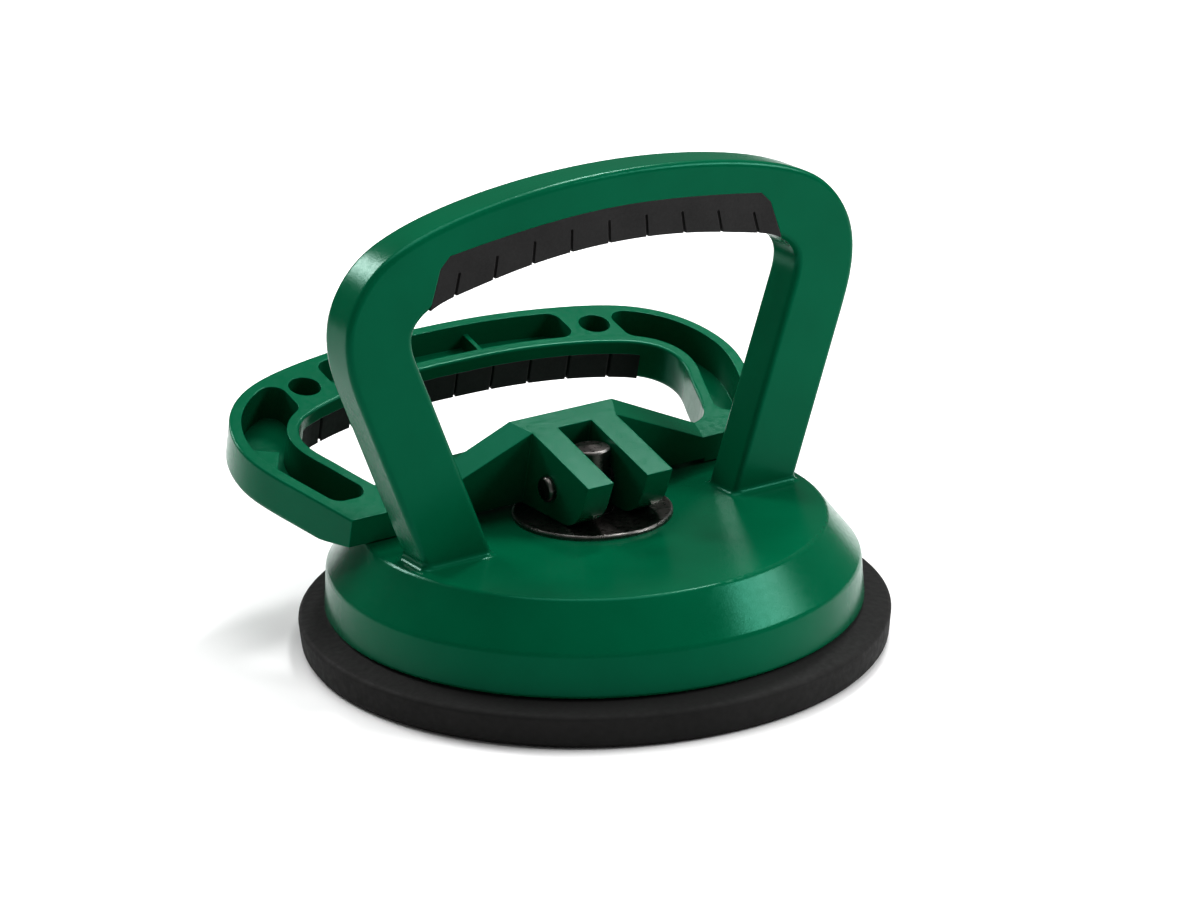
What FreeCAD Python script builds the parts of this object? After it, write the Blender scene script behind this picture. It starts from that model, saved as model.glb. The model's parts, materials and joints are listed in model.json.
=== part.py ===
import FreeCAD, Part
import math
import os

from FreeCAD import Vector

# Vacuum suction lifter: a rubber pad under a moulded housing with a fixed grab
# handle, and a looped cam lever that lies open behind it.  Swinging the lever up
# rolls its two cam arms on a steel washer and draws the stud, the backing plate
# and the middle of the pad upwards.
#
# Millimetres.  Origin: centre of the pad's underside.  +Z up, X along the pivot
# pin, -Y the handle's front, +Y the side the open lever lies on.

# ---- rubber pad -------------------------------------------------------------
PAD_R = 60.0
PAD_FOOT_R = 58.8
PAD_RIM_H = 6.7
PAD_SEAT_R = 54.0
PAD_SEAT_H = 7.9
PAD_SEAT_STEP = 0.3
PAD_SEAT_IN_R = 46.5
PAD_WEB_H = 5.4
NUT_WELL_R = 7.0

# ---- housing ----------------------------------------------------------------
HSG_BASE_R = 54.5
HSG_BASE_Z = 8.0
HSG_WALL_R = 53.9
HSG_WALL_Z = 16.8
TOP_R = 47.0
TOP_Z = 25.7
HSG_WALL_T = 3.0
HSG_ROOF_T = 3.2
BOSS_R = 7.2
BOSS_Z = 15.4
RIB_COUNT = 8
RIB_T = 1.8
RIB_Z = 15.4
RIB_IN_R = 13.6

# ---- fixed handle: half outlines as (x, z) stations from the crown down ------
HANDLE_FRONT = -8.6
HANDLE_REAR = 0.8
HANDLE_OUTER = [(0, 98.3), (17, 97.5), (33, 95.1), (44.5, 91.8), (51, 88.4), (55.6, 83.6),
                (58.2, 78.3), (58.9, 72.5), (57.9, 66.0), (55.7, 59.3)]
HANDLE_OUTER_FOOT = (43.5, 25.7)
HANDLE_INNER = [(0, 84.2), (12, 83.7), (23, 82.3), (33, 80.4), (38.5, 79.0), (42.2, 77.0),
                (44.4, 74.2), (44.6, 71.2), (43.4, 67.0), (41.2, 61.0)]
HANDLE_INNER_FOOT = (28.4, 25.7)
HANDLE_EDGE_R = 1.2
HANDLE_FOOT_R = 1.3
HANDLE_MID_X = 29.3
HANDLE_SIDE_X = 32.7
HANDLE_RIB_Z = 64.0
HANDLE_RIB_T = 3.0
LEG_POCKET_Z = 34.0

# ---- grips: soft inserts along the inner edge of both bars ------------------
GRIP_H = 7.1
GRIP_FACE_T = 1.6
GRIP_UNDER_T = 1.4
GRIP_WRAP = 5.9
GRIP_TOP_X = 36.0
GRIP_END_X = 40.6
GRIP_DROP = 3.2
GRIP_END_DROP = 12.6
GRIP_GAP = 0.04
GROOVE_PITCH = 8.8
GROOVE_COUNT = 9
GROOVE_W = 0.6
GROOVE_D = 0.5
GROOVE_H = 4.6

# ---- pivot and stud ---------------------------------------------------------
PIN_Z = 33.0
PIN_R = 2.0
PIN_RUN = 0.05
PIN_HALF = 10.5
CAP_R = 2.6
CAP_T = 1.3
STUD_R = 3.85
STUD_TOP = 40.2
STUD_CROWN_H = 0.5
STUD_EDGE_R = 0.35
BUSH_BORE_R = 3.92
BUSH_R = 5.4
BUSH_FLANGE_R = 6.4
WASHER_R = 16.2
WASHER_T = 1.0

# ---- plate and spring under the housing -------------------------------------
PLATE_R = 27.0
PLATE_Z = 5.6
PLATE_T = 1.5
SHIM_R = 7.0
SHIM_T = 1.2
THREAD_R = 3.0
NUT_AF = 10.0
NUT_T = 3.2
SPRING_R = 9.8
SPRING_WIRE = 1.6
SPRING_TURNS = 3.25
SEAT_T = 0.8

# ---- cam lever: half outlines as (x, v), v measured up the slope from the pin -
LEVER_TILT = 15.93
LEVER_OUTER = [(0, 66.7), (14, 66.2), (25, 64.8), (34, 63.0), (41.5, 60.8), (48, 57.6),
               (53, 53.2), (56.5, 47.8), (58.5, 41.4), (58.8, 35.4), (57.3, 28.6), (54.8, 21.6)]
LEVER_OUTER_FOOT = (50.0, 8.5)
LEVER_INNER = [(0, 52.0), (10, 51.8), (20, 50.8), (29, 49.0), (36, 46.8), (40.6, 44.6),
               (43.8, 41.4), (45.2, 37.2), (44.8, 33.2), (43.2, 28.6), (40.2, 20.1)]
LEVER_INNER_FOOT = (37.7, 13.8)
LOOP_TOP = -3.2
LOOP_T = 9.0
LOOP_EDGE_R = 0.5
WEB_FRONT = 8.5
WEB_REAR = 13.8
WEB_FLAT_X = 12.2
WEB_FOOT_X = 34.4
WEB_FRONT_FOOT_X = 33.0
WEB_CORNER_RUN = 4.5
ARM_TOP = 7.9
ARM_IN_X = 4.0
ARM_OUT_X = 9.9
CAM_REACH = 11.5
CAM_SWING = 66.0
CAM_CLEAR = 0.12
LOOP_TRIM_Z = 26.1
WEB_TRIM_Z = 27.0
POCKET_WALL = 2.5
POCKET_DEPTH = 5.9
SIDE_POCKET_DEPTH = 7.8
POCKET_END_R = 3.0
POCKET_MID_X = 29.3
POCKET_SIDE_X = 39.9
POCKET_LOW_V = 15.2
HOLE_X = 35.3
HOLE_V = 54.7
HOLE_R = 3.4
POCKET_BLOCK = [(-62.0, 42.9), (-50.9, 36.5), (-56.4, 27.7)]
POCKET_BLOCK_DROP = 1.2
POCKET_RIB_X = 9.0
POCKET_RIB_T = 1.0
POCKET_RIB_DROP = 2.6

CAM_REST = PIN_Z - TOP_Z - WASHER_T - CAM_CLEAR
CAM_ANGLE = math.radians(CAM_SWING)
CAM_RATE = (CAM_REACH - CAM_REST) / CAM_ANGLE
LIFT = CAM_RATE * CAM_ANGLE

HANDLE_OUTER_LINE = (HANDLE_OUTER, HANDLE_OUTER_FOOT)
HANDLE_INNER_LINE = (HANDLE_INNER, HANDLE_INNER_FOOT)
LEVER_OUTER_LINE = (LEVER_OUTER, LEVER_OUTER_FOOT)
LEVER_INNER_LINE = (LEVER_INNER, LEVER_INNER_FOOT)

BEYOND = 120.0

X_AXIS = Vector(1, 0, 0)
Y_AXIS = Vector(0, 1, 0)
Z_AXIS = Vector(0, 0, 1)
ORIGIN = Vector(0, 0, 0)


def upright(x, t):
    return Vector(x, 0, t)


def flat(x, t):
    return Vector(x, t, 0)


def ring(r_in, r_out, z, h):
    body = Part.makeCylinder(r_out, h, Vector(0, 0, z))
    return body.cut(Part.makeCylinder(r_in, h, Vector(0, 0, z)))


def revolved(profile):
    """Solid of revolution about Z from (radius, z) points."""
    wire = Part.makePolygon([Vector(r, 0, z) for r, z in profile + profile[:1]])
    return Part.Face(wire).revolve(ORIGIN, Z_AXIS, 360)


def circles_at(shape, radius, z):
    """Circular edges about Z with the given radius at height z."""
    found = []
    for edge in shape.Edges:
        if not isinstance(edge.Curve, Part.Circle):
            continue
        centre = edge.Curve.Center
        on_axis = abs(centre.x) + abs(centre.y) < 1e-4
        if on_axis and abs(centre.z - z) < 1e-3 and abs(edge.Curve.Radius - radius) < 1e-3:
            found.append(edge)
    return found


def arch_curve(half, foot, place):
    """Smooth crown through the mirrored stations, tangent to both legs."""
    down = place(*foot).sub(place(*half[-1]))
    up = Vector(down.x, -down.y, -down.z)
    right = [place(x, t) for x, t in half]
    left = [place(-x, t) for x, t in half[1:]]
    curve = Part.BSplineCurve()
    curve.interpolate(Points=left[::-1] + right, InitialTangent=up.normalize(),
                      FinalTangent=down.normalize(), Scale=False)
    return curve


def grown(half, foot, amount):
    """Half outline and foot moved outwards by amount, square to the outline."""
    curve = arch_curve(half, foot, flat)
    first = curve.parameter(flat(*half[0]))
    steps = 16
    moved = []
    for i in range(steps + 1):
        u = first + (curve.LastParameter - first) * i / steps
        point = curve.value(u)
        along = curve.tangent(u)[0]
        moved.append((point.x - along.y * amount, point.y + along.x * amount))
    moved[0] = (0, moved[0][1])
    shift = (moved[-1][0] - half[-1][0], moved[-1][1] - half[-1][1])
    return moved, (foot[0] + shift[0], foot[1] + shift[1])


def arch_face(half, foot, place):
    """Face under a symmetric arch: a smooth crown on two straight legs."""
    foot_r = place(*foot)
    foot_l = place(-foot[0], foot[1])
    edges = [arch_curve(half, foot, place).toShape(), Part.makeLine(place(*half[-1]), foot_r),
             Part.makeLine(foot_r, foot_l), Part.makeLine(foot_l, place(-half[-1][0], half[-1][1]))]
    return Part.Face(Part.Wire(edges))


def grip_zone(top, place, inset):
    """Face covering the insert's height; the window arch trims its lower side."""
    crown = [(-GRIP_TOP_X, top - GRIP_DROP), (-GRIP_TOP_X / 2, top - GRIP_DROP * 0.3), (0, top),
             (GRIP_TOP_X / 2, top - GRIP_DROP * 0.3), (GRIP_TOP_X, top - GRIP_DROP)]
    curve = Part.BSplineCurve()
    curve.interpolate([place(x, t - inset) for x, t in crown])
    end = [(GRIP_TOP_X, top - GRIP_DROP - inset), (GRIP_TOP_X + 2.2 - inset, top - GRIP_DROP - 2.2),
           (GRIP_END_X - inset, top - GRIP_END_DROP), (GRIP_END_X + 0.6 - inset, top - GRIP_END_DROP - 3.4)]
    loop = [curve.toShape()]
    for side in (-1, 1):
        points = [place(side * x, t) for x, t in end]
        for a, b in zip(points[:-1], points[1:]):
            loop.append(Part.makeLine(a, b))
    low_x, low_t = end[-1]
    loop.append(Part.makeLine(place(low_x, low_t), place(-low_x, low_t)))
    return Part.Face(Part.Wire(Part.sortEdges(loop)[0]))


def extrude(face, axis, start, length):
    """Prism of a face that lies in a plane through the origin, along axis."""
    body = face.extrude(axis * length)
    body.translate(axis * start)
    return body


def grip_seat(inner, place, axis, face_at, inset):
    """L section along the bar: a strip on its outer face and one underneath."""
    half, foot = inner
    zone = grip_zone(half[0][1] + GRIP_H, place, inset)
    near = arch_face(*grown(half, foot, GRIP_UNDER_T - inset), place)
    strip = extrude(zone, axis, face_at, GRIP_FACE_T - inset)
    under = extrude(zone, axis, face_at, GRIP_WRAP - inset)
    return strip.fuse(under.common(extrude(near, axis, face_at, GRIP_WRAP - inset)))


def grip_insert(inner, place, axis, face_at):
    """Soft insert: the seat less a hairline, trimmed by the window, grooved."""
    half, foot = inner
    body = grip_seat(inner, place, axis, face_at, GRIP_GAP)
    body = body.cut(extrude(arch_face(half, foot, place), axis, face_at - 1, GRIP_WRAP + 2))
    return body.removeSplitter().cut(grooves(half, place, axis, face_at))


def grooves(half, place, axis, face_at):
    """Finger grooves: cuts across the insert's lower side and up its face."""
    cuts = []
    for i in range(GROOVE_COUNT):
        x = (i - (GROOVE_COUNT - 1) / 2.0) * GROOVE_PITCH
        for (x0, t0), (x1, t1) in zip(half[:-1], half[1:]):
            if x0 <= abs(x) <= x1:
                t = t0 + (t1 - t0) * (abs(x) - x0) / (x1 - x0)
                slope = (t1 - t0) / (x1 - x0)
        lean = math.copysign(slope, x) * -1.0 if x else 0.0
        for low, high, depth in ((-2.0, GROOVE_D, GRIP_WRAP), (-2.0, GROOVE_H, GROOVE_D)):
            corners = [(-GROOVE_W / 2, low), (GROOVE_W / 2, low), (GROOVE_W / 2, high),
                       (-GROOVE_W / 2, high)]
            points = [place(x + u + lean * w, t + w - lean * u) for u, w in corners]
            face = Part.Face(Part.makePolygon(points + points[:1]))
            cuts.append(extrude(face, axis, face_at - 0.5, depth + 0.5))
    return cuts


def suction_pad():
    """Flat-faced rubber disc: seat ring for the housing, recess for plate and nut."""
    lip = PLATE_Z + PLATE_T + 0.6
    floor = PLATE_Z - 0.1
    nut_well = PLATE_Z - NUT_T - 0.5
    return revolved([(0, 0), (PAD_FOOT_R, 0), (PAD_FOOT_R + 0.7, 0.9), (PAD_R, PAD_RIM_H - 0.6),
                     (PAD_R - 0.6, PAD_RIM_H), (HSG_BASE_R - 0.1, PAD_SEAT_H - PAD_SEAT_STEP),
                     (PAD_SEAT_R, PAD_SEAT_H), (PAD_SEAT_IN_R, PAD_SEAT_H),
                     (PAD_SEAT_IN_R - 2.4, PAD_WEB_H), (PLATE_R + 3.5, PAD_WEB_H), (PLATE_R + 2.9, lip),
                     (PLATE_R + 0.3, lip), (PLATE_R + 0.3, floor), (NUT_WELL_R, floor),
                     (NUT_WELL_R, nut_well), (0, nut_well)])


def housing_shell():
    """Cap of the housing: near-vertical skirt, bevel and flat top, open below."""
    outer = revolved([(0, HSG_BASE_Z), (HSG_BASE_R, HSG_BASE_Z), (HSG_WALL_R, HSG_WALL_Z),
                      (TOP_R, TOP_Z), (0, TOP_Z)])
    outer = outer.makeFillet(1.6, circles_at(outer, HSG_WALL_R, HSG_WALL_Z))
    outer = outer.makeFillet(1.2, circles_at(outer, TOP_R, TOP_Z))
    outer = outer.makeFillet(0.7, circles_at(outer, HSG_BASE_R, HSG_BASE_Z))
    roof = TOP_Z - HSG_ROOF_T
    inner = revolved([(0, HSG_BASE_Z - 1), (HSG_BASE_R - HSG_WALL_T, HSG_BASE_Z - 1),
                      (HSG_WALL_R - HSG_WALL_T - 0.4, HSG_WALL_Z - 1.2), (TOP_R - 2.6, roof), (0, roof)])
    return outer.cut(inner)


def housing_inside():
    """Stud boss and radial ribs under the roof."""
    roof = TOP_Z - HSG_ROOF_T
    pieces = [Part.makeCylinder(BOSS_R, roof - BOSS_Z + 0.5, Vector(0, 0, BOSS_Z))]
    outline = revolved([(RIB_IN_R, RIB_Z), (HSG_WALL_R - HSG_WALL_T + 0.6, RIB_Z),
                        (HSG_WALL_R - HSG_WALL_T + 0.2, HSG_WALL_Z - 1), (TOP_R - 2.2, roof + 0.5),
                        (RIB_IN_R, roof + 0.5)])
    for i in range(RIB_COUNT):
        blade = Part.makeBox(60, RIB_T, 20, Vector(0, -RIB_T / 2, RIB_Z - 5))
        blade.rotate(ORIGIN, Z_AXIS, (i + 0.5) * 360.0 / RIB_COUNT)
        pieces.append(outline.common(blade))
    return pieces


def edges_at_height(shape, z):
    return [e for e in shape.Edges if abs(e.BoundBox.ZMin - z) < 1e-3 and abs(e.BoundBox.ZMax - z) < 1e-3]


def edges_in_plane(shape, y, lowest):
    """Edges lying in the plane of constant y and staying above a height."""
    found = []
    for edge in shape.Edges:
        box = edge.BoundBox
        if abs(box.YMin - y) < 1e-3 and abs(box.YMax - y) < 1e-3 and box.ZMin > lowest - 1e-3:
            found.append(edge)
    return found


def handle_bow():
    """The grab handle's solid bow, its long edges rounded."""
    depth = HANDLE_REAR - HANDLE_FRONT
    body = extrude(arch_face(*HANDLE_OUTER_LINE, upright), Y_AXIS, HANDLE_FRONT, depth)
    body = body.cut(extrude(arch_face(*HANDLE_INNER_LINE, upright), Y_AXIS, HANDLE_FRONT - 1, depth + 2))
    rim = [e for e in edges_in_plane(body, HANDLE_FRONT, TOP_Z) if e.BoundBox.ZMax > TOP_Z + 2]
    rim += [e for e in edges_in_plane(body, HANDLE_REAR, TOP_Z) if e.BoundBox.ZMax > TOP_Z + 2]
    return body.makeFillet(HANDLE_EDGE_R, rim)


def pocket_ring(outer, inner, place):
    """Face between a bow's outlines, set in by the pocket wall."""
    big = arch_face(*grown(*outer, -POCKET_WALL), place)
    return big.cut(arch_face(*grown(*inner, POCKET_WALL), place))


def rounded(prism, axis, low, high, radius):
    """Round the corners where the prism's walls meet the slice's sides."""
    edges = []
    for edge in prism.Edges:
        if len(edge.Vertexes) != 2:
            continue
        start = edge.Vertexes[0].Point
        run = edge.Vertexes[1].Point.sub(start)
        if run.Length < 1e-6 or abs(run.dot(axis)) < 0.999 * edge.Length:
            continue
        sides = []
        for direction in (Vector(1, 0, 0), Vector(0, 1, 0), Vector(0, 0, 1)):
            if abs(direction.dot(axis)) < 0.5:
                sides.append(abs(start.sub(low).dot(direction)))
                sides.append(abs(start.sub(high).dot(direction)))
        if min(sides) < 1e-4:
            edges.append(edge)
    return prism.makeFillet(radius, edges)


def pocket_solids(face, slices, axis, start, depth, radius):
    """Pockets left when the ring between the outlines is cut by slices."""
    solids = []
    for low, high in slices:
        span = high.sub(low)
        box = Part.makeBox(span.x, span.y, span.z, low)
        part = extrude(face, axis, start, depth).common(box)
        for solid in part.Solids:
            solids.append(rounded(solid, axis, low, high, radius))
    return solids


def handle_pockets():
    """Lightening pockets in the rear face of the fixed handle."""
    face = pocket_ring(HANDLE_OUTER_LINE, HANDLE_INNER_LINE, upright)
    low = HANDLE_REAR - POCKET_DEPTH
    reach = POCKET_DEPTH + 1
    high = low + reach
    slices = [(Vector(-HANDLE_MID_X, low, HANDLE_RIB_Z), Vector(HANDLE_MID_X, high, BEYOND)),
              (Vector(HANDLE_SIDE_X, low, HANDLE_RIB_Z), Vector(BEYOND, high, BEYOND)),
              (Vector(-BEYOND, low, HANDLE_RIB_Z), Vector(-HANDLE_SIDE_X, high, BEYOND)),
              (Vector(0, low, LEG_POCKET_Z), Vector(BEYOND, high, HANDLE_RIB_Z - HANDLE_RIB_T)),
              (Vector(-BEYOND, low, LEG_POCKET_Z), Vector(0, high, HANDLE_RIB_Z - HANDLE_RIB_T))]
    return pocket_solids(face, slices, Y_AXIS, low, reach, 1.6)


def foot_edges(body):
    """Edges where the handle's feet meet the housing's flat top."""
    found = []
    for edge in edges_at_height(body, TOP_Z):
        box = edge.BoundBox
        if min(abs(box.XMin), abs(box.XMax)) > HANDLE_INNER_FOOT[0] - 1 and box.DiagonalLength < 20:
            found.append(edge)
    return found


def base_housing():
    """Housing with its fixed grab handle: one moulding."""
    body = housing_shell().fuse(handle_bow()).removeSplitter()
    body = body.makeFillet(HANDLE_FOOT_R, foot_edges(body))
    body = body.fuse(housing_inside()).removeSplitter()
    seat = grip_seat(HANDLE_INNER_LINE, upright, Y_AXIS, HANDLE_FRONT, 0)
    body = body.cut([seat] + handle_pockets())
    body = body.cut(Part.makeCylinder(BUSH_R + 0.02, 20, Vector(0, 0, 10)))
    return body.cut(Part.makeCylinder(BUSH_FLANGE_R + 0.05, 1.55, Vector(0, 0, BOSS_Z - 0.5)))


def handle_grip():
    return grip_insert(HANDLE_INNER_LINE, upright, Y_AXIS, HANDLE_FRONT)


def cam_washer():
    """Hardened washer the cam arms ride on, edge rolled."""
    body = ring(STUD_R + 0.35, WASHER_R, TOP_Z, WASHER_T)
    return body.makeFillet(0.35, circles_at(body, WASHER_R, TOP_Z + WASHER_T))


def guide_bush():
    """Flanged plain bush that guides the stud, pushed up into the boss."""
    tube = ring(BUSH_BORE_R, BUSH_R, BOSS_Z, TOP_Z - BOSS_Z)
    return tube.fuse(ring(BUSH_BORE_R, BUSH_FLANGE_R, BOSS_Z, 1.0)).removeSplitter()


def spring_seat():
    roof = TOP_Z - HSG_ROOF_T
    return ring(BOSS_R + 0.2, SPRING_R + 2.2, roof - SEAT_T, SEAT_T)


def stud():
    """Stud with a low crown, cross-drilled for the pivot pin, threaded below."""
    shoulder = PLATE_Z + PLATE_T + SHIM_T
    rim_z = STUD_TOP - STUD_CROWN_H
    body = revolved([(0, PLATE_Z - NUT_T), (THREAD_R, PLATE_Z - NUT_T), (THREAD_R, shoulder),
                     (STUD_R, shoulder), (STUD_R, rim_z), (0, STUD_TOP)])
    body = body.makeFillet(STUD_EDGE_R, circles_at(body, STUD_R, rim_z))
    return body.cut(Part.makeCylinder(PIN_R, 20, Vector(-10, 0, PIN_Z), X_AXIS))


def pivot_pin():
    return Part.makeCylinder(PIN_R, 2 * PIN_HALF, Vector(-PIN_HALF, 0, PIN_Z), X_AXIS)


def pin_caps():
    """Two push-on retaining caps, domed, one on each end of the pin."""
    caps = []
    for side in (-1, 1):
        start = Vector(side * (ARM_OUT_X + 0.15), 0, PIN_Z)
        cap = Part.makeCylinder(CAP_R, CAP_T, start, Vector(side, 0, 0))
        rim = [e for e in cap.Edges if isinstance(e.Curve, Part.Circle)
               and abs(e.Curve.Center.x - start.x) > 0.5]
        cap = cap.makeFillet(0.6, rim)
        bore = Part.makeCylinder(PIN_R, PIN_HALF - ARM_OUT_X - 0.15, start, Vector(side, 0, 0))
        caps.append(cap.cut(bore))
    return Part.makeCompound(caps)


def backing_plate():
    """Steel disc with a ring of bonding holes, held in the top of the pad."""
    body = ring(THREAD_R + 0.02, PLATE_R, PLATE_Z, PLATE_T)
    for i in range(6):
        angle = math.radians(60 * i + 30)
        spot = Vector(0.72 * PLATE_R * math.cos(angle), 0.72 * PLATE_R * math.sin(angle), PLATE_Z - 1)
        body = body.cut(Part.makeCylinder(2.5, PLATE_T + 2, spot))
    return body


def stud_shim():
    return ring(THREAD_R + 0.1, SHIM_R, PLATE_Z + PLATE_T, SHIM_T)


def stud_nut():
    """Thin hexagon nut under the plate."""
    corner = NUT_AF / math.sqrt(3)
    points = []
    for i in range(7):
        angle = math.radians(60 * i)
        points.append(Vector(corner * math.cos(angle), corner * math.sin(angle), PLATE_Z - NUT_T))
    body = Part.Face(Part.makePolygon(points)).extrude(Vector(0, 0, NUT_T - 0.02))
    return body.cut(Part.makeCylinder(THREAD_R, NUT_T + 2, Vector(0, 0, PLATE_Z - NUT_T - 1)))


def return_spring():
    """Compression spring between the plate and the seat under the roof."""
    low = PLATE_Z + PLATE_T + SPRING_WIRE / 2 + 0.05
    high = TOP_Z - HSG_ROOF_T - SEAT_T - SPRING_WIRE / 2 - 0.05
    pitch = (high - low) / SPRING_TURNS
    path = Part.makeHelix(pitch, high - low, SPRING_R)
    path.translate(Vector(0, 0, low))
    circle = Part.makeCircle(SPRING_WIRE / 2, Vector(SPRING_R, 0, low), Vector(0, 1, 0))
    return Part.Wire(path).makePipeShell([Part.Wire(circle)], True, True)


def placed(shape):
    """Move lever-frame geometry to the pin and tilt it to the open position."""
    body = shape.copy()
    body.rotate(ORIGIN, X_AXIS, LEVER_TILT)
    body.translate(Vector(0, 0, PIN_Z))
    return body


def cam_profile():
    """Arm side view about the pin, (y, z) in the open position.

    The underside rolls with a lift that grows evenly with the angle, so every
    contact point sits CAM_RATE off the pin and the support height is
    CAM_REST + CAM_RATE * angle.  It runs out into a flat front face, which lies
    on the washer when the lever is up.
    """
    curve_points = []
    steps = 14
    tilt = math.radians(LEVER_TILT)

    def from_lever(v, n):
        return Vector(0, v * math.cos(tilt) - n * math.sin(tilt), v * math.sin(tilt) + n * math.cos(tilt))

    for i in range(steps + 1):
        a = CAM_ANGLE * i / steps
        reach = CAM_REST + CAM_RATE * a
        y = -reach * math.sin(a) - CAM_RATE * math.cos(a)
        z = -reach * math.cos(a) + CAM_RATE * math.sin(a)
        curve_points.append(Vector(0, y, z))
    curve = Part.BSplineCurve()
    curve.interpolate(curve_points)
    face_out = Vector(0, -math.sin(CAM_ANGLE), -math.cos(CAM_ANGLE))
    along_top = from_lever(1, 0)
    short = CAM_REACH - face_out.dot(from_lever(0, ARM_TOP))
    tip = from_lever(short / face_out.dot(along_top), ARM_TOP)
    back = from_lever(WEB_REAR - 1, ARM_TOP)
    heel_y = from_lever(WEB_REAR - 1, -9).y
    heel = Vector(0, heel_y, -CAM_REST)
    edges = [curve.toShape()]
    chain = [curve_points[-1], tip, back, heel, curve_points[0]]
    for a, b in zip(chain[:-1], chain[1:]):
        edges.append(Part.makeLine(a, b))
    return Part.Face(Part.Wire(Part.sortEdges(edges)[0]))


def cam_arms():
    arms = []
    for x in (-ARM_OUT_X, ARM_IN_X):
        arm = cam_profile().extrude(Vector(ARM_OUT_X - ARM_IN_X, 0, 0))
        arm.translate(Vector(x, 0, PIN_Z))
        arms.append(arm)
    return arms


def gable_wire(v, flat_x, foot_x):
    low = LOOP_TOP - LOOP_T
    points = [(-foot_x, LOOP_TOP), (-flat_x, ARM_TOP), (flat_x, ARM_TOP), (foot_x, LOOP_TOP),
              (foot_x, low), (-foot_x, low)]
    return Part.makePolygon([Vector(x, v, n) for x, n in points + points[:1]])


def below(z):
    """Block filling everything under a height."""
    return Part.makeBox(2 * BEYOND, 2 * BEYOND, BEYOND, Vector(-BEYOND, -BEYOND, z - BEYOND))


def trimmed(shape):
    """Cut level below, so that it clears the housing."""
    return shape.cut(below(WEB_TRIM_Z))


def lever_web():
    """Gable-shaped wall that ties the arms to the loop's two feet."""
    front = gable_wire(WEB_FRONT, ARM_OUT_X, WEB_FRONT_FOOT_X)
    rear = gable_wire(WEB_REAR, WEB_FLAT_X, WEB_FOOT_X)
    return trimmed(placed(Part.makeLoft([front, rear], True, True)))


def web_corners():
    """Fillets between the web's rear face and the loop's inner walls."""
    low = LOOP_TOP - LOOP_T
    corner = flat(*LEVER_INNER_FOOT)
    leg = flat(*LEVER_INNER[-1]).sub(corner).normalize()
    start = corner.add(Vector(-WEB_CORNER_RUN, 0, 0))
    end = corner.add(leg * WEB_CORNER_RUN)
    half = math.acos(-leg.x) / 2
    centre = start.add(Vector(0, WEB_CORNER_RUN * math.tan(half), 0))
    inward = corner.sub(centre).normalize()
    middle = centre.add(inward * (centre.y - start.y))
    behind = [end.add(Vector(1.5, -0.6, 0)), corner.add(Vector(1.5, -1.5, 0)), start.add(Vector(0, -1.5, 0))]
    loop = [end] + behind + [start]
    edges = [Part.Arc(start, middle, end).toShape()]
    for a, b in zip(loop[:-1], loop[1:]):
        edges.append(Part.makeLine(a, b))
    face = Part.Face(Part.Wire(edges))
    fillet = extrude(face, Z_AXIS, low + 0.3, LOOP_T - 0.3)
    return [trimmed(placed(fillet)), trimmed(placed(fillet.mirror(ORIGIN, X_AXIS)))]


def lever_loop():
    """Slab of the loop, its feet trimmed level so they clear the housing."""
    low = LOOP_TOP - LOOP_T
    slab = extrude(arch_face(*LEVER_OUTER_LINE, flat), Z_AXIS, low, LOOP_T)
    slab = slab.cut(extrude(arch_face(*LEVER_INNER_LINE, flat), Z_AXIS, low - 1, LOOP_T + 2))
    for level, radius in ((low, 1.2), (LOOP_TOP, LOOP_EDGE_R)):
        rim = [e for e in slab.Edges if abs(e.BoundBox.ZMin - level) < 1e-3
               and abs(e.BoundBox.ZMax - level) < 1e-3 and e.BoundBox.YMax > WEB_REAR + 2]
        slab = slab.makeFillet(radius, rim)
    slab = placed(slab)
    slab = slab.cut(below(LOOP_TRIM_Z))
    strip = placed(Part.makeBox(2 * WEB_FOOT_X, WEB_REAR - WEB_FRONT, LOOP_T,
                                Vector(-WEB_FOOT_X, WEB_FRONT, low)))
    return slab.cut(strip.common(below(WEB_TRIM_Z)))


def extruded_block(corners, height):
    return Part.Face(Part.makePolygon(corners + corners[:1])).extrude(Vector(0, 0, height))


def lever_pockets():
    """Pockets and round holes in the loop's upper face."""
    face = pocket_ring(LEVER_OUTER_LINE, LEVER_INNER_LINE, flat)
    low = LOOP_TOP - POCKET_DEPTH
    reach = POCKET_DEPTH + 1
    high = low + reach
    middle = [(Vector(-POCKET_MID_X, POCKET_LOW_V, low), Vector(POCKET_MID_X, BEYOND, high))]
    solids = pocket_solids(face, middle, Z_AXIS, low, reach, POCKET_END_R)
    deep = LOOP_TOP - SIDE_POCKET_DEPTH
    sides = [(Vector(POCKET_SIDE_X, POCKET_LOW_V, deep), Vector(BEYOND, BEYOND, high)),
             (Vector(-BEYOND, POCKET_LOW_V, deep), Vector(-POCKET_SIDE_X, BEYOND, high))]
    solids += pocket_solids(face, sides, Z_AXIS, deep, high - deep, POCKET_END_R)
    for x in (-HOLE_X, HOLE_X):
        solids.append(Part.makeCylinder(HOLE_R, reach, Vector(x, HOLE_V, low)))
    corners = [Vector(x, v, deep) for x, v in POCKET_BLOCK]
    keep = [extruded_block(corners, high - deep - 1 - POCKET_BLOCK_DROP)]
    for x in (-POCKET_RIB_X, POCKET_RIB_X):
        keep.append(Part.makeBox(POCKET_RIB_T, BEYOND, POCKET_DEPTH - POCKET_RIB_DROP,
                                 Vector(x - POCKET_RIB_T / 2, 0, low)))
    return placed(solids[0].fuse(solids[1:]).cut(keep))


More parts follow.
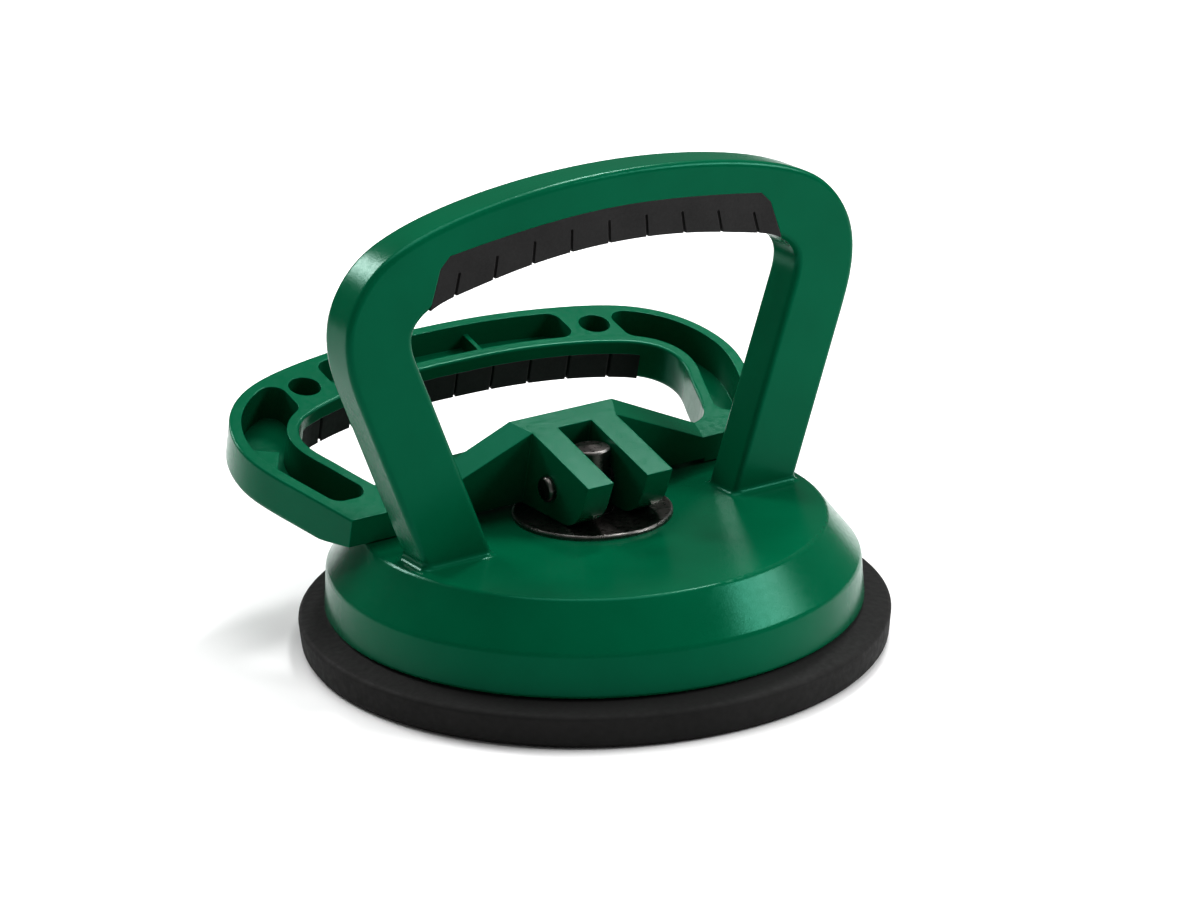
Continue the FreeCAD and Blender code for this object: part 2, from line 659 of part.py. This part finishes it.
def cam_lever():
    body = lever_loop().fuse([lever_web()] + web_corners() + cam_arms()).removeSplitter()
    seat = placed(grip_seat(LEVER_INNER_LINE, flat, Z_AXIS, LOOP_TOP - LOOP_T, 0))
    body = body.cut([seat, lever_pockets()])
    return body.cut(Part.makeCylinder(PIN_R + PIN_RUN, 60, Vector(-30, 0, PIN_Z), X_AXIS))


def lever_grip():
    return placed(grip_insert(LEVER_INNER_LINE, flat, Z_AXIS, LOOP_TOP - LOOP_T))


PARTS = [base_housing, handle_grip, cam_washer, guide_bush, spring_seat, suction_pad, return_spring,
         stud, pivot_pin, pin_caps, backing_plate, stud_shim, stud_nut, cam_lever, lever_grip]

os.makedirs("parts", exist_ok=True)
for make in PARTS:
    shape = make()
    shape.exportStep("parts/" + make.__name__ + ".step")
    print(make.__name__, "solids", len(shape.Solids), "valid", shape.isValid(),
          "volume", round(shape.Volume, 1))
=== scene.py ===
import json
import math

import bmesh
import bpy
from mathutils import Matrix, Vector


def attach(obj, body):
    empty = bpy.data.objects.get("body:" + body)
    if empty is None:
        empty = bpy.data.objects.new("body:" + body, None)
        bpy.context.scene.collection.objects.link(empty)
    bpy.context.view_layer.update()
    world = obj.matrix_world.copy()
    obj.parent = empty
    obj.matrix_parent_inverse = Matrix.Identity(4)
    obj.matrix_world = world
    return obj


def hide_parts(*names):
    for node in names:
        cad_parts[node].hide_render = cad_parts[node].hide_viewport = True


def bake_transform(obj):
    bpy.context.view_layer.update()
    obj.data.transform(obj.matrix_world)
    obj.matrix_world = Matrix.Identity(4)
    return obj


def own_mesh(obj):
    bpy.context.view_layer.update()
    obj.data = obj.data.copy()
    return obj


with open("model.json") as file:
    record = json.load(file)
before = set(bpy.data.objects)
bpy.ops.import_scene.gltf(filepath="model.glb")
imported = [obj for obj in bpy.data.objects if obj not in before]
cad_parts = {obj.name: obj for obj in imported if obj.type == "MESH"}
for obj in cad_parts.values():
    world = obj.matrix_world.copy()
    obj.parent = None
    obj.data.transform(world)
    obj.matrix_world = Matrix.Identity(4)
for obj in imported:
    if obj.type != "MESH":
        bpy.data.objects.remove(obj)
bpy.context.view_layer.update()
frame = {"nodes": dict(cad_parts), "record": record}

# ---- camera: angles in radians, places in metres, lens and sensor in mm ------
AZIMUTH = math.radians(-32.39)
ELEVATION = math.radians(19.54)
ROLL = math.radians(-1.30)
DISTANCE = 0.850
LENS = 125.8
SENSOR = 36.0
SIDE_SHIFT = 0.00178
UP_SHIFT = 0.03675
CLIP_NEAR = 0.01
CLIP_FAR = 20.0


def make_camera():
    """A long lens to the left of the handle's front, a little above the object."""
    back = Vector((math.sin(AZIMUTH) * math.cos(ELEVATION),
                   -math.cos(AZIMUTH) * math.cos(ELEVATION),
                   math.sin(ELEVATION)))
    right = Vector((math.cos(AZIMUTH), math.sin(AZIMUTH), 0))
    up = back.cross(right)
    target = right * SIDE_SHIFT + up * UP_SHIFT
    rolled_right = right * math.cos(ROLL) + up * math.sin(ROLL)
    rolled_up = up * math.cos(ROLL) - right * math.sin(ROLL)
    data = bpy.data.cameras.new("camera")
    data.lens = LENS
    data.sensor_width = SENSOR
    data.clip_start = CLIP_NEAR
    data.clip_end = CLIP_FAR
    cam = bpy.data.objects.new("camera", data)
    bpy.context.scene.collection.objects.link(cam)
    turn = Matrix((rolled_right, rolled_up, back)).transposed().to_4x4()
    cam.matrix_world = Matrix.Translation(target + back * DISTANCE) @ turn
    bpy.context.scene.camera = cam


# ---- node helpers -----------------------------------------------------------
# the part of a noise's output that a ramp or a range is stretched over
NOISE_LOW = 0.3
NOISE_HIGH = 0.7
BEVEL_SAMPLES = 4
# cosine between the eased and the plain normal: full edge, and no edge
EDGE_FULL = 0.80
EDGE_NONE = 0.995
GRAIN_DETAIL = 2.0


class Nodes:
    """Short calls for building one material's node tree."""

    def __init__(self, name):
        self.material = bpy.data.materials.new(name)
        self.material.use_nodes = True
        self.tree = self.material.node_tree
        self.shader = self.tree.nodes["Principled BSDF"]
        self.place = self.add("ShaderNodeTexCoord").outputs["Object"]

    def add(self, kind, **values):
        """New node; each value is a setting of the node or one of its sockets."""
        node = self.tree.nodes.new(kind)
        for key, value in values.items():
            if hasattr(node, key):
                setattr(node, key, value)
            else:
                node.inputs[key.replace("_", " ").title()].default_value = value
        return node

    def link(self, source, target):
        self.tree.links.new(source, target)

    def noise(self, scale, detail=3.0, rough=0.5):
        node = self.add("ShaderNodeTexNoise", scale=scale, detail=detail, roughness=rough)
        self.link(self.place, node.inputs["Vector"])
        return node.outputs["Fac"]

    def spread(self, source, low, high, start=NOISE_LOW, end=NOISE_HIGH):
        """Source stretched from start..end to low..high."""
        node = self.add("ShaderNodeMapRange", from_min=start, from_max=end,
                        to_min=low, to_max=high)
        self.link(source, node.inputs["Value"])
        return node.outputs["Result"]

    def mottle(self, source, dark, light):
        """Colour running from dark to light with a noise."""
        node = self.add("ShaderNodeValToRGB")
        stops = ((NOISE_LOW, dark), (NOISE_HIGH, light))
        for element, (at, colour) in zip(node.color_ramp.elements, stops):
            element.position = at
            element.color = (*colour, 1.0)
        self.link(source, node.inputs["Fac"])
        return node.outputs["Color"]

    def rounded(self, radius):
        """Normal of the surface with its edges eased, and a mask of those edges."""
        bevel = self.add("ShaderNodeBevel", samples=BEVEL_SAMPLES, radius=radius)
        plain = self.add("ShaderNodeNewGeometry")
        dot = self.add("ShaderNodeVectorMath", operation="DOT_PRODUCT")
        self.link(bevel.outputs["Normal"], dot.inputs[0])
        self.link(plain.outputs["Normal"], dot.inputs[1])
        mask = self.spread(dot.outputs["Value"], 1.0, 0.0, EDGE_FULL, EDGE_NONE)
        return bevel.outputs["Normal"], mask

    def tinted(self, mask, source, colour):
        """Source with a plain colour laid over it where the mask is."""
        node = self.add("ShaderNodeMix", data_type="RGBA")
        self.link(mask, node.inputs["Factor"])
        self.link(source, node.inputs["A"])
        node.inputs["B"].default_value = (*colour, 1.0)
        return node.outputs["Result"]

    def bump(self, layers, normal):
        """Chain of bumps: (height, distance in metres, strength)."""
        for height, distance, strength in layers:
            node = self.add("ShaderNodeBump", distance=distance, strength=strength)
            self.link(height, node.inputs["Height"])
            self.link(normal, node.inputs["Normal"])
            normal = node.outputs["Normal"]
        self.link(normal, self.shader.inputs["Normal"])


# ---- finishes ---------------------------------------------------------------
# rounding: radius of the eased edges, metres
# mottle: scale and detail of the colour's noise
# shades: its dark and light colours;  then the colour laid along the edges, rubbed wear on
# some finishes and a painted highlight on the green moulding and the black steel
# gloss: scale of the roughness noise, then the lowest and highest roughness
# grain: layers of bump, each (scale, noise roughness, depth in metres, strength)
# sockets: other constants on the shader
METAL = {"Metallic": 1.0}
FINISHES = {
    # deep green glass-filled moulding with a fine spark-eroded grain, and a lighter green
    # painted highlight along its edges
    "green_moulding": dict(
        rounding=0.00035, mottle=(55.0, 2.0),
        shades=((0.0, 0.090, 0.041), (0.0, 0.104, 0.048)), edge_wear_and_highlight=(0.002, 0.150, 0.072),
        gloss=(900.0, 0.17, 0.26),
        grain=[(2400.0, 0.6, 0.00003, 0.45), (260.0, 0.5, 0.00004, 0.22)],
        sockets={"Specular IOR Level": 0.16, "Specular Tint": (0.20, 1.0, 0.75, 1.0)}),
    # soft overmoulded elastomer, matt, slightly mottled
    "soft_grip": dict(
        rounding=0.00030, mottle=(120.0, 3.0),
        shades=((0.0185, 0.0180, 0.0182), (0.0245, 0.0238, 0.0240)),
        edge_wear_and_highlight=(0.040, 0.039, 0.039), gloss=(1500.0, 0.55, 0.72),
        grain=[(2200.0, 0.5, 0.00005, 0.6)], sockets={"Specular IOR Level": 0.18}),
    # black pad rubber with a faint bloom and flow mottling
    "pad_rubber": dict(
        rounding=0.00040, mottle=(40.0, 4.0),
        shades=((0.0165, 0.0165, 0.0162), (0.0215, 0.0212, 0.0209)),
        edge_wear_and_highlight=(0.034, 0.034, 0.033), gloss=(700.0, 0.60, 0.78),
        grain=[(1600.0, 0.5, 0.00005, 0.5), (120.0, 0.5, 0.00010, 0.3)],
        sockets={"Specular IOR Level": 0.12}),
    # blackened steel, with a near-white painted highlight along its edges
    "black_steel": dict(
        rounding=0.00060, mottle=(300.0, 4.0),
        shades=((0.085, 0.078, 0.074), (0.150, 0.140, 0.132)), edge_wear_and_highlight=(0.86, 0.86, 0.84),
        gloss=(900.0, 0.24, 0.38), grain=[(1800.0, 0.5, 0.00002, 0.4)], sockets=METAL),
    # zinc-plated steel with a fine frosted sheen
    "zinc_steel": dict(
        rounding=0.00025, mottle=(420.0, 3.0),
        shades=((0.42, 0.43, 0.45), (0.55, 0.56, 0.58)), edge_wear_and_highlight=(0.70, 0.70, 0.70),
        gloss=(600.0, 0.28, 0.42), grain=[(1500.0, 0.5, 0.00002, 0.4)], sockets=METAL),
    # natural-coloured acetal
    "bush_plastic": dict(
        rounding=0.00025, mottle=(200.0, 2.0),
        shades=((0.60, 0.57, 0.50), (0.68, 0.65, 0.58)), edge_wear_and_highlight=(0.76, 0.74, 0.68),
        gloss=(900.0, 0.35, 0.5), grain=[(1500.0, 0.5, 0.00003, 0.4)], sockets={}),
}


def make_finish(name, rounding, mottle, shades, edge_wear_and_highlight, gloss, grain, sockets):
    """Material with a mottled colour, eased edges laid over with an edge colour, and a
    grain.
    """
    n = Nodes(name)
    normal, edge = n.rounded(rounding)
    body = n.mottle(n.noise(*mottle), *shades)
    # the edge colour over the eased edges: rubbed wear on some finishes, a painted highlight
    # on others
    n.link(n.tinted(edge, body, edge_wear_and_highlight), n.shader.inputs["Base Color"])
    gloss_scale, smoothest, roughest = gloss
    n.link(n.spread(n.noise(gloss_scale), smoothest, roughest), n.shader.inputs["Roughness"])
    for socket, value in sockets.items():
        n.shader.inputs[socket].default_value = value
    n.bump([(n.noise(scale, GRAIN_DETAIL, rough), depth, strength)
            for scale, rough, depth, strength in grain], normal)
    return n.material


def dress_cad_nodes():
    """Each CAD node gets the finish of its material slot."""
    made = {name: make_finish(name, **values) for name, values in FINISHES.items()}
    for part in frame["record"]["subparts"]:
        obj = frame["nodes"][part["node"]]
        obj.data.materials.clear()
        obj.data.materials.append(made[part["material_slot"]])
    return made


# ---- the pad, the spring and the soft inserts: metres -------------------------
PAD_TURNS = 240
PAD_STEP = 0.0020
PAD_EDGE = 0.00045
CORNER_STEPS = 4
# (radius, height) round the pad's half section, from the centre of its underside
PAD_SECTION = [(0.0, 0.0), (0.0587, 0.0), (0.0594, 0.0010), (0.05990, 0.0061),
               (0.0593, 0.0067), (0.0544, 0.0076), (0.0538, 0.0079), (0.0465, 0.0079),
               (0.0441, 0.0054), (0.0305, 0.0054), (0.0299, 0.0077), (0.0273, 0.0077),
               (0.0273, 0.0055), (0.0070, 0.0055), (0.0070, 0.0019), (0.0, 0.0019)]
GRIP_EDGE = 0.00022
GRIP_EDGE_STEPS = 3
GRIP_EDGE_ANGLE = math.radians(35)


def eased(points, cut):
    """Section with its corners rounded and its long runs divided."""
    curve = [points[0]]
    for before, corner, after in zip(points[:-2], points[1:-1], points[2:]):
        ends = []
        for other in (before, after):
            run = math.dist(corner, other)
            t = min(cut, run / 3) / run
            ends.append([c + (o - c) * t for c, o in zip(corner, other)])
        for i in range(CORNER_STEPS + 1):
            t = i / CORNER_STEPS
            curve.append(tuple((1 - t) ** 2 * a + 2 * t * (1 - t) * c + t * t * b
                               for a, c, b in zip(ends[0], corner, ends[1])))
    curve.append(points[-1])
    fine = []
    for a, b in zip(curve[:-1], curve[1:]):
        parts = max(1, math.ceil(math.dist(a, b) / PAD_STEP))
        fine += [tuple(p + (q - p) * i / parts for p, q in zip(a, b)) for i in range(parts)]
    return fine + [curve[-1]]


def lathed(name, section, turns):
    """Closed solid of revolution about Z; the section starts and ends on the axis."""
    body = bmesh.new()
    poles = [body.verts.new((0, 0, section[0][1])), body.verts.new((0, 0, section[-1][1]))]
    rings = []
    for radius, height in section[1:-1]:
        rings.append([body.verts.new((radius * math.cos(2 * math.pi * k / turns),
                                      radius * math.sin(2 * math.pi * k / turns), height))
                      for k in range(turns)])
    for k in range(turns):
        j = (k + 1) % turns
        body.faces.new((poles[0], rings[0][j], rings[0][k]))
        for low, high in zip(rings[:-1], rings[1:]):
            body.faces.new((low[k], low[j], high[j], high[k]))
        body.faces.new((rings[-1][k], rings[-1][j], poles[1]))
    for face in body.faces:
        face.smooth = True
    mesh = bpy.data.meshes.new(name)
    body.to_mesh(mesh)
    body.free()
    obj = bpy.data.objects.new(name, mesh)
    bpy.context.scene.collection.objects.link(obj)
    return obj


def moulded_pad(material):
    """Rubber pad lathed from its section, in place of the hidden CAD pad."""
    pad = lathed("pad_moulding", eased(PAD_SECTION, PAD_EDGE), PAD_TURNS)
    pad.data.materials.append(material)
    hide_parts("suction_pad")
    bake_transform(pad)


def stand_in(name, node, body, material):
    """Piece that starts from a CAD node's mesh and stands for that node."""
    obj = bpy.data.objects.new(name, frame["nodes"][node].data.copy())
    bpy.context.scene.collection.objects.link(obj)
    obj.data.materials.clear()
    obj.data.materials.append(material)
    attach(obj, body)
    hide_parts(node)
    return obj


def coil_spring(material):
    """Return spring: a copy of the CAD spring's mesh, riding on the base."""
    spring = stand_in("spring_coil", "return_spring", "base", material)
    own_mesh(spring)


def soft_insert(node, body, material):
    """Elastomer insert with every moulded edge eased."""
    grip = stand_in(node + "_moulding", node, body, material)
    ease = grip.modifiers.new("ease", "BEVEL")
    ease.width = GRIP_EDGE
    ease.segments = GRIP_EDGE_STEPS
    ease.limit_method = "ANGLE"
    ease.angle_limit = GRIP_EDGE_ANGLE
    ease.harden_normals = True


# ---- stage: metres and watts --------------------------------------------------
FLOOR_HALF = 6.0
# the floor lies a little low, so that it never fights with the pad's underside
FLOOR_DROP = 0.0002
FLOOR_NOISE = 3.0
FLOOR_SHADES = ((0.90, 0.90, 0.90), (0.93, 0.93, 0.93))
FLOOR_ROUGHNESS = 0.9
WORLD_COLOUR = (1.0, 1.0, 1.0, 1.0)
WORLD_STRENGTH = 0.14
LIGHTS_AIM = (0, 0, 0.03)
# name, place, width and height, power
LIGHTS = [("overhead", (0.05, 0.05, 1.25), (0.9, 0.9), 10.0),
          ("back_right", (0.52, 0.40, 0.94), (0.18, 0.18), 4.0),
          ("back_left", (-0.30, 0.78, 0.64), (0.34, 0.26), 5.0),
          ("front_right", (0.61, -0.40, 0.52), (0.50, 0.18), 4.4),
          ("front_left", (-0.60, -0.90, 0.60), (0.7, 0.7), 0.4)]


def area_light(name, place, size, power):
    """White rectangular light, turned towards the object."""
    data = bpy.data.lights.new(name, "AREA")
    data.shape = "RECTANGLE"
    data.size, data.size_y = size
    data.energy = power
    lamp = bpy.data.objects.new(name, data)
    lamp.location = place
    lamp.rotation_mode = "QUATERNION"
    lamp.rotation_quaternion = (Vector(LIGHTS_AIM) - Vector(place)).to_track_quat("-Z", "Y")
    bpy.context.scene.collection.objects.link(lamp)


def make_floor():
    mesh = bpy.data.meshes.new("floor")
    r = FLOOR_HALF
    mesh.from_pydata([(-r, -r, 0), (r, -r, 0), (r, r, 0), (-r, r, 0)], [], [(0, 1, 2, 3)])
    floor = bpy.data.objects.new("floor", mesh)
    floor.location.z = -FLOOR_DROP
    bpy.context.scene.collection.objects.link(floor)
    n = Nodes("floor")
    n.link(n.mottle(n.noise(FLOOR_NOISE), *FLOOR_SHADES), n.shader.inputs["Base Color"])
    n.shader.inputs["Roughness"].default_value = FLOOR_ROUGHNESS
    mesh.materials.append(n.material)


def make_studio():
    """Even pale surroundings, the picture's contrast, and the five lights."""
    world = bpy.data.worlds.new("studio")
    world.use_nodes = True
    background = world.node_tree.nodes["Background"]
    background.inputs["Color"].default_value = WORLD_COLOUR
    background.inputs["Strength"].default_value = WORLD_STRENGTH
    bpy.context.scene.world = world
    bpy.context.scene.view_settings.view_transform = "Standard"
    bpy.context.scene.view_settings.look = "Medium High Contrast"
    for light in LIGHTS:
        area_light(*light)


make_camera()
finishes = dress_cad_nodes()
moulded_pad(finishes["pad_rubber"])
coil_spring(finishes["zinc_steel"])
soft_insert("handle_grip", "base", finishes["soft_grip"])
soft_insert("lever_grip", "lever", finishes["soft_grip"])
make_floor()
make_studio()
